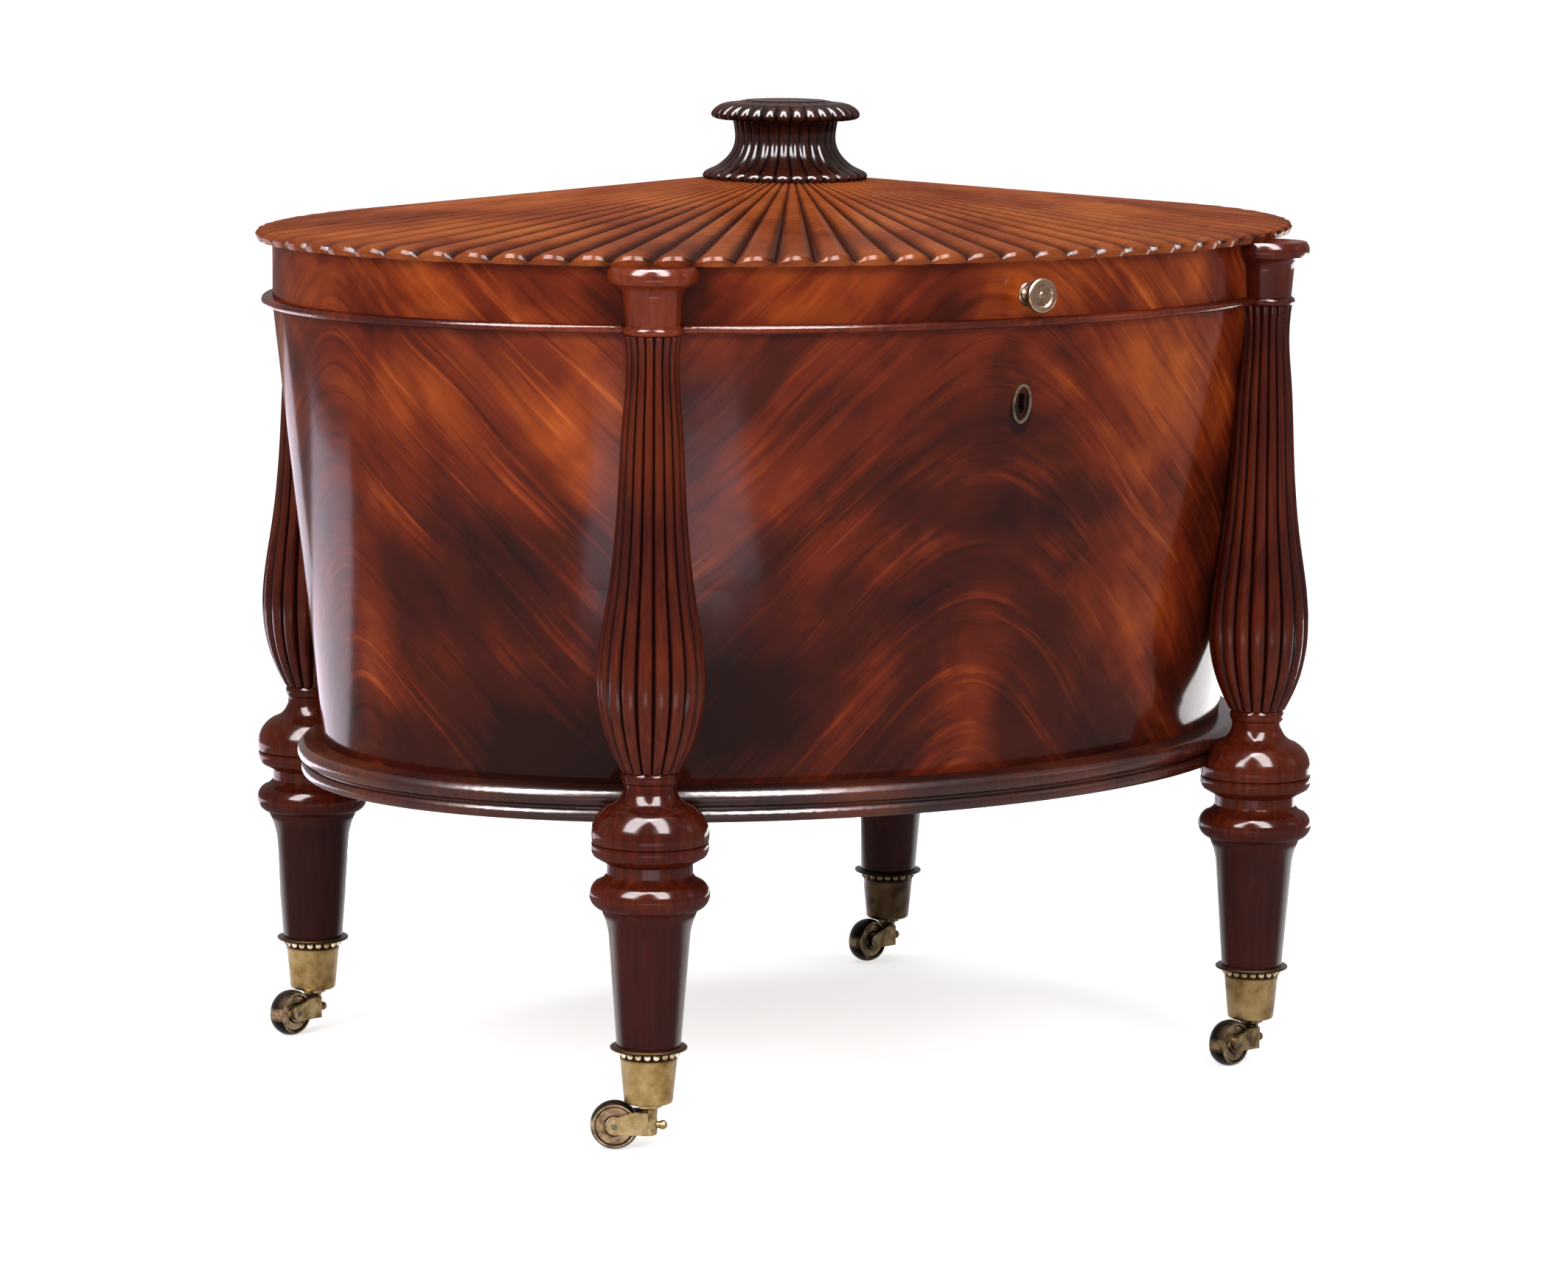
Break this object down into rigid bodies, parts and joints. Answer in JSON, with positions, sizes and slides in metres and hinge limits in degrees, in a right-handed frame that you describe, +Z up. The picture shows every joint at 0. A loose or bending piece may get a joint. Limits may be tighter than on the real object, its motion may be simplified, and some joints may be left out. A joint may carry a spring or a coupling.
{
  "type": "cellarette",
  "caption": "Oval mahogany cellarette on turned and reeded legs with brass swivel casters; hinged radially reeded lid with gadrooned finial, box lock and divided zinc-lined interior.",
  "frame": {"origin": "on the floor, under the middle of the oval tub", "axes": "+X along the width to the right as the front is seen, the front with the knob faces -Y, +Z up"},
  "size_m": [0.7396, 0.567, 0.6411],
  "materials": {
    "mahogany_veneer": "French-polished crotch mahogany veneer",
    "mahogany_turned": "French-polished turned and carved mahogany",
    "mahogany_reeded": "French-polished carved mahogany, paler on the crowns",
    "mahogany_moulding": "French-polished mahogany moulding",
    "mahogany_ebonised": "dark stained and polished mahogany",
    "secondary_wood": "planed secondary wood",
    "zinc_sheet": "dull zinc sheet",
    "brass": "aged lacquered brass",
    "steel": "plain steel"
  },
  "bodies": {
    "carcass": {"tub_wall": "mahogany_veneer", "tub_floor": "secondary_wood", "base_moulding": "mahogany_moulding", "liner": "zinc_sheet", "divider_long_front": "secondary_wood", "divider_long_back": "secondary_wood", "divider_cross_1": "secondary_wood", "divider_cross_2": "secondary_wood", "divider_cross_3": "secondary_wood", "divider_cross_4": "secondary_wood", "leg_fl": "mahogany_turned", "leg_fr": "mahogany_turned", "leg_bl": "mahogany_turned", "leg_br": "mahogany_turned", "caster_cup_fl": "brass", "caster_cup_fr": "brass", "caster_cup_bl": "brass", "caster_cup_br": "brass", "escutcheon": "brass", "lock_case": "steel", "lock_face": "brass", "hinge_leaf_lower_l": "brass", "hinge_leaf_lower_r": "brass", "hinge_pin_l": "steel", "hinge_pin_r": "steel", "tub_screws": "steel", "leg_screws": "steel", "leg_dowels": "secondary_wood"},
    "lid": {"lid_frieze": "mahogany_veneer", "lid_top": "mahogany_reeded", "lid_lining": "secondary_wood", "lid_astragal": "mahogany_moulding", "capital_fl": "mahogany_turned", "capital_fr": "mahogany_turned", "capital_bl": "mahogany_turned", "capital_br": "mahogany_turned", "finial_neck": "mahogany_ebonised", "finial_cap": "mahogany_ebonised", "finial_dowel": "secondary_wood", "knob": "brass", "knob_rose": "brass", "hinge_leaf_upper_l": "brass", "hinge_leaf_upper_r": "brass", "lock_link": "brass", "lid_screws": "steel"},
    "lock_bolt": {"lock_bolt": "steel"},
    "swivel_fl": {"horn_fl": "brass", "axle_fl": "steel"},
    "roller_fl": {"wheel_fl": "brass"},
    "swivel_fr": {"horn_fr": "brass", "axle_fr": "steel"},
    "roller_fr": {"wheel_fr": "brass"},
    "swivel_bl": {"horn_bl": "brass", "axle_bl": "steel"},
    "roller_bl": {"wheel_bl": "brass"},
    "swivel_br": {"horn_br": "brass", "axle_br": "steel"},
    "roller_br": {"wheel_br": "brass"}
  },
  "joints": [
    {"name": "lid_hinge", "type": "hinge", "parent": "carcass", "child": "lid", "pos_m": [0, 0.2756, 0.5102], "axis": [-1, 0, 0], "range_deg": [0, 95]},
    {"name": "bolt_slide", "type": "slide", "parent": "carcass", "child": "lock_bolt", "axis": [1, 0, 0], "range_m": [0, 0.007]},
    {"name": "swivel_fl_turn", "type": "hinge", "parent": "carcass", "child": "swivel_fl", "pos_m": [-0.24199, -0.21002, 0.0297], "axis": [0, 0, 1], "continuous": true},
    {"name": "roller_fl_spin", "type": "hinge", "parent": "swivel_fl", "child": "roller_fl", "pos_m": [-0.25919, -0.19797, 0.0155], "axis": [-0.5736, -0.8192, 0], "continuous": true},
    {"name": "swivel_fr_turn", "type": "hinge", "parent": "carcass", "child": "swivel_fr", "pos_m": [0.24199, -0.21002, 0.0297], "axis": [0, 0, 1], "continuous": true},
    {"name": "roller_fr_spin", "type": "hinge", "parent": "swivel_fr", "child": "roller_fr", "pos_m": [0.22131, -0.21366, 0.0155], "axis": [0.1736, -0.9848, 0], "continuous": true},
    {"name": "swivel_bl_turn", "type": "hinge", "parent": "carcass", "child": "swivel_bl", "pos_m": [-0.24199, 0.21002, 0.0297], "axis": [0, 0, 1], "continuous": true},
    {"name": "roller_bl_spin", "type": "hinge", "parent": "swivel_bl", "child": "roller_bl", "pos_m": [-0.26237, 0.20494, 0.0155], "axis": [0.2419, -0.9703, 0], "continuous": true},
    {"name": "swivel_br_turn", "type": "hinge", "parent": "carcass", "child": "swivel_br", "pos_m": [0.24199, 0.21002, 0.0297], "axis": [0, 0, 1], "continuous": true},
    {"name": "roller_br_spin", "type": "hinge", "parent": "swivel_br", "child": "roller_br", "pos_m": [0.22145, 0.20565, 0.0155], "axis": [0.2079, -0.9781, 0], "continuous": true}
  ]
}
